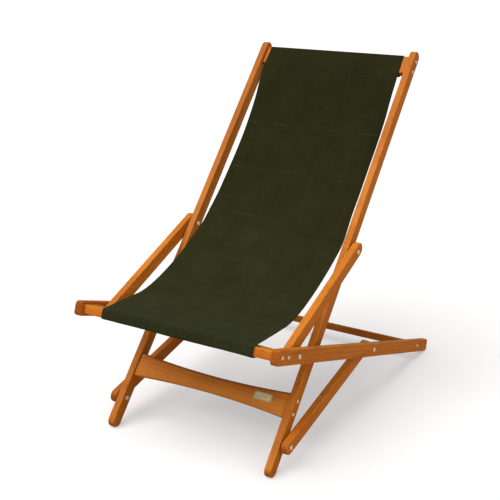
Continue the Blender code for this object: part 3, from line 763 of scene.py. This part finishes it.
def canvas_finish():
    g = Graph("green_canvas")
    flat = g.node("ShaderNodeTexCoord").outputs["UV"]
    parts = g.node("ShaderNodeSeparateXYZ", {0: flat}).outputs
    across, along = parts[0], parts[1]
    warp = g.math("SINE", g.math("MULTIPLY", across, math.tau / THREAD_PAIR))
    weft = g.math("SINE", g.math("MULTIPLY", along, math.tau / THREAD_PAIR))
    weave = g.math("MULTIPLY", warp, weft)
    slub_along = g.remap(g.noise(g.stretch(flat, (1100.0, 28.0, 1.0)), 1.0, 2.0), 0.56, 0.74)
    slub_across = g.remap(g.noise(g.stretch(flat, (24.0, 1000.0, 1.0), (3, 5, 0)), 1.0, 2.0),
                          0.56, 0.74)
    slubs = g.math("MAXIMUM", slub_along, slub_across)
    streak = g.noise(g.stretch(flat, (160.0, 3.0, 1.0)), 1.0, 3.0)
    weft_streak = g.noise(g.stretch(flat, (3.0, 130.0, 1.0), (7, 1, 0)), 1.0, 3.0)
    mottle = g.noise(g.stretch(flat, (11.0, 9.0, 1.0)), 1.0, 4.0, 0.6)
    base = g.ramp(mottle, [(0.30, OLIVE_DEEP), (0.52, OLIVE), (0.75, OLIVE_LIGHT)])
    base = g.mix(g.remap(streak, 0.40, 0.70, 0.0, 0.35), base, OLIVE_LIGHT)
    base = g.mix(g.remap(weft_streak, 0.42, 0.72, 0.0, 0.30), base, OLIVE_DEEP)
    base = g.mix(g.math("MULTIPLY", slubs, 0.40), base, (0.050, 0.049, 0.021))
    base = g.mix(g.remap(weave, -1.0, 0.2, 0.40, 0.0), base, (0.010, 0.011, 0.005))
    # old fold lines are rubbed paler where they catch
    patchy = g.remap(g.noise(g.stretch(flat, (26.0, 60.0, 1.0), (2, 9, 0)), 1.0, 3.0),
                     0.42, 0.68)
    drift = g.math("MULTIPLY_ADD", g.noise(g.stretch(flat, (14.0, 14.0, 1.0)), 1.0, 2.0),
                   0.0050, -0.0025)
    worn = g.remap(g.math("ABSOLUTE", g.math("ADD", across, drift)), 0.0003, 0.0026,
                   0.40, 0.0)
    for place in CREASES:
        near = g.math("ABSOLUTE", g.math("SUBTRACT", g.math("ADD", along, drift), place))
        worn = g.math("MAXIMUM", worn, g.remap(near, 0.0004, 0.0030, 0.8, 0.0))
    base = g.mix(g.math("MULTIPLY", g.math("MULTIPLY", worn, patchy), 0.30), base,
                 (0.070, 0.068, 0.036))
    # canvas is doubled at its seam, and a painted shadow darkens it there
    near = g.math("ABSOLUTE", g.math("SUBTRACT", along, TOP_STITCH))
    base = g.mix(g.remap(near, 0.0012, 0.0070, 0.22, 0.0), base, (0.012, 0.013, 0.007))
    # painted light and shade on the canvas: darker on the back, paler on the seat as painted sheen, greener over
    # the front rail
    painted_shade_and_sheen = g.ramp(g.remap(along, 0.15, LIP + 0.01), [
        (0.0, (0.86, 0.87, 0.88)), (0.30, (0.93, 0.93, 0.92)), (0.62, (1.06, 1.06, 1.05)),
        (0.95, (1.08, 1.12, 1.14)), (1.0, (1.05, 1.22, 1.45))])
    base = g.mix(1.0, base, painted_shade_and_sheen, "MULTIPLY")
    height = g.math("ADD", g.math("MULTIPLY", weave, 0.5), g.math("MULTIPLY", slubs, 0.7))
    normal = g.bump(height, 0.00016, 0.55)
    normal = g.bump(g.math("ADD", streak, weft_streak), 0.0005, 0.30, normal)
    rough = g.remap(mottle, 0.3, 0.7, 0.86, 0.97)
    return g.finish(Base_Color=base, Roughness=rough, Normal=normal,
                    Specular_IOR_Level=0.05, Sheen_Weight=0.05, Sheen_Roughness=0.5,
                    Sheen_Tint=(0.60, 0.60, 0.38, 1.0))


def thread_finish():
    g = Graph("sewing_thread")
    where = g.node("ShaderNodeTexCoord").outputs["Object"]
    twist = g.noise(where, 1600.0, 2.0)
    base = g.ramp(twist, [(0.3, (0.020, 0.022, 0.011)), (0.7, (0.060, 0.061, 0.034))])
    return g.finish(Base_Color=base, Roughness=g.remap(twist, 0.3, 0.7, 0.6, 0.8),
                    Normal=g.bump(twist, 0.0001, 0.5), Specular_IOR_Level=0.2)


def make_sling():
    finish, thread = canvas_finish(), thread_finish()
    cut = min(range(len(REACH)), key=lambda k: abs(REACH[k] - CUT))
    back = sling_piece("sling_canvas_back", 0, cut, finish)
    seat = sling_piece("sling_canvas_seat", cut, len(REACH) - 1, finish)
    back_thread = stitching("sling_stitches_back", TOP_STITCH - 0.090, REACH[cut],
                            (TOP_STITCH - ROW_GAP, TOP_STITCH + ROW_GAP), thread)
    seat_thread = stitching("sling_stitches_seat", REACH[cut], LIP + 0.075, (), thread)
    for piece in (back, back_thread):
        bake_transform(piece)
    for piece in (seat, seat_thread):
        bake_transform(piece)
    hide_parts("sling_back")
    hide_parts("sling_seat", "sling_front")


# ---- floor, light, camera ---------------------------------------------------------------------
AMBIENT, KEY, SIDE_LIGHT = 0.30, 3.0, 0.92
FLOOR_HALF, FLOOR_GLOW = 60.0, 0.36
CAMERA_PLACE = (1.2221, -2.2019, 1.2424)
CAMERA_FORWARD, CAMERA_RIGHT = (-0.4809, 0.8222, -0.3045), (0.8613, 0.5080, 0.0114)
LENS, SHIFT = 66.8, (-0.0068, -0.0057)


def paper():
    """Pale studio paper, lit a little from behind so that shadows on it stay light. It throws
    less, and warmer, light back than it shows."""
    g = Graph("studio_paper")
    cloud = g.noise(g.node("ShaderNodeTexCoord").outputs["Object"], 1.2, 3.0)
    seen = g.mix(cloud, (0.60, 0.61, 0.625), (0.59, 0.60, 0.615))
    bounce = g.mix(cloud, (0.50, 0.37, 0.24), (0.48, 0.36, 0.23))
    path = g.node("ShaderNodeLightPath").outputs["Is Camera Ray"]
    return g.finish(Base_Color=g.mix(path, bounce, seen), Roughness=0.95,
                    Emission_Color=(1.0, 1.0, 1.0, 1.0),
                    Emission_Strength=g.math("MULTIPLY", path, FLOOR_GLOW),
                    Specular_IOR_Level=0.0)


def studio():
    mesh = bpy.data.meshes.new("studio_floor")
    mesh.from_pydata([(FLOOR_HALF * x, FLOOR_HALF * y, 0)
                      for x, y in ((-1, -1), (1, -1), (1, 1), (-1, 1))], [], [(0, 1, 2, 3)])
    floor = bpy.data.objects.new("studio_floor", mesh)
    SCENE.collection.objects.link(floor)
    floor.data.materials.append(paper())

    world = bpy.data.worlds.new("studio_world")
    world.use_nodes = True
    tree = world.node_tree
    light = tree.nodes["Background"]
    light.inputs[0].default_value = (1.0, 0.985, 0.96, 1.0)
    light.inputs[1].default_value = AMBIENT
    seen = tree.nodes.new("ShaderNodeBackground")
    seen.inputs[0].default_value = (1.0, 1.0, 1.0, 1.0)
    seen.inputs[1].default_value = 1.0
    path = tree.nodes.new("ShaderNodeLightPath")
    both = tree.nodes.new("ShaderNodeMixShader")
    tree.links.new(path.outputs["Is Camera Ray"], both.inputs[0])
    tree.links.new(light.outputs[0], both.inputs[1])
    tree.links.new(seen.outputs[0], both.inputs[2])
    tree.links.new(both.outputs[0], tree.nodes["World Output"].inputs[0])
    SCENE.world = world

    for name, strength, spread, place, colour in (
            ("soft_key", KEY, 60, (-0.25, -0.50, 1.0), (1.0, 0.965, 0.91)),
            ("soft_side", SIDE_LIGHT, 80, (0.90, -0.35, 0.45), (1.0, 0.95, 0.88))):
        sun = bpy.data.lights.new(name, "SUN")
        sun.energy, sun.angle, sun.color = strength, math.radians(spread), colour
        made = bpy.data.objects.new(name, sun)
        SCENE.collection.objects.link(made)
        made.rotation_mode = "QUATERNION"
        made.rotation_quaternion = Vector(place).to_track_quat("Z", "Y")


def camera():
    data = bpy.data.cameras.new("photo_camera")
    data.sensor_width, data.lens = 36.0, LENS
    data.shift_x, data.shift_y = SHIFT
    data.clip_start, data.clip_end = 0.05, 60.0
    made = bpy.data.objects.new("photo_camera", data)
    SCENE.collection.objects.link(made)
    forward, right = Vector(CAMERA_FORWARD).normalized(), Vector(CAMERA_RIGHT)
    right = (right - forward * right.dot(forward)).normalized()
    turn = Matrix((right, right.cross(forward), -forward)).transposed()
    made.matrix_world = Matrix.Translation(CAMERA_PLACE) @ turn.to_4x4()
    SCENE.camera = made
    SCENE.view_settings.view_transform = "Standard"


studio()
camera()
dress_boards()
dress_metal()
make_sling()
